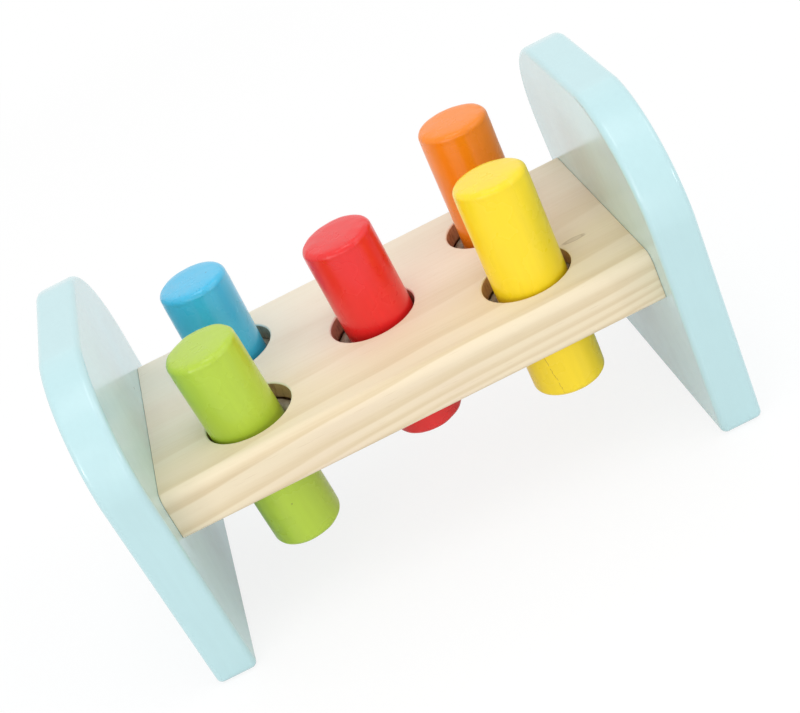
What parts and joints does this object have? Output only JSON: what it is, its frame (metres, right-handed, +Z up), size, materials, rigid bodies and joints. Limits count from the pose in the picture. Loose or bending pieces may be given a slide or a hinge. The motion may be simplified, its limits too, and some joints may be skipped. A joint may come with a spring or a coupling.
{
  "type": "peg pounding bench",
  "caption": "Wooden peg pounding bench: a pine board held between painted end boards, with painted round pegs that slide through elastic rings in its holes.",
  "frame": {"origin": "on the floor under the middle of the bench, at the bottom centre of the bounding box", "axes": "+Z up, +X along the bench to the right, +Y to the back"},
  "size_m": [0.2012, 0.1216, 0.1205],
  "materials": {
    "bench_pine": "sanded pine with a thin clear coat",
    "end_paint": "pale aqua satin gloss paint",
    "blue_paint": "blue semi-gloss paint",
    "green_paint": "lime green semi-gloss paint",
    "red_paint": "red semi-gloss paint",
    "orange_paint": "orange semi-gloss paint",
    "yellow_paint": "yellow semi-gloss paint",
    "ring_rubber": "milky soft rubber",
    "dowel_beech": "plain beech"
  },
  "bodies": {
    "bench": {"bench_board": "bench_pine", "left_end_board": "end_paint", "right_end_board": "end_paint", "blue_ring": "ring_rubber", "green_ring": "ring_rubber", "red_ring": "ring_rubber", "orange_ring": "ring_rubber", "yellow_ring": "ring_rubber", "left_front_dowel": "dowel_beech", "left_middle_dowel": "dowel_beech", "left_back_dowel": "dowel_beech", "right_front_dowel": "dowel_beech", "right_middle_dowel": "dowel_beech", "right_back_dowel": "dowel_beech"},
    "blue_peg": {"blue_peg": "blue_paint"},
    "green_peg": {"green_peg": "green_paint"},
    "red_peg": {"red_peg": "red_paint"},
    "orange_peg": {"orange_peg": "orange_paint"},
    "yellow_peg": {"yellow_peg": "yellow_paint"}
  },
  "joints": [
    {"name": "blue_peg_slide", "type": "slide", "parent": "bench", "child": "blue_peg", "axis": [0.0105, 0, 0.9999], "range_m": [-0.021, 0.03]},
    {"name": "green_peg_slide", "type": "slide", "parent": "bench", "child": "green_peg", "axis": [-0.0419, 0, 0.9991], "range_m": [-0.0195, 0.0315]},
    {"name": "red_peg_slide", "type": "slide", "parent": "bench", "child": "red_peg", "axis": [-0.0332, 0, 0.9995], "range_m": [-0.0225, 0.0285]},
    {"name": "orange_peg_slide", "type": "slide", "parent": "bench", "child": "orange_peg", "axis": [0.0175, 0, 0.9998], "range_m": [-0.0305, 0.0205]},
    {"name": "yellow_peg_slide", "type": "slide", "parent": "bench", "child": "yellow_peg", "axis": [0.0157, 0.0523, 0.9985], "range_m": [-0.027, 0.024]}
  ]
}
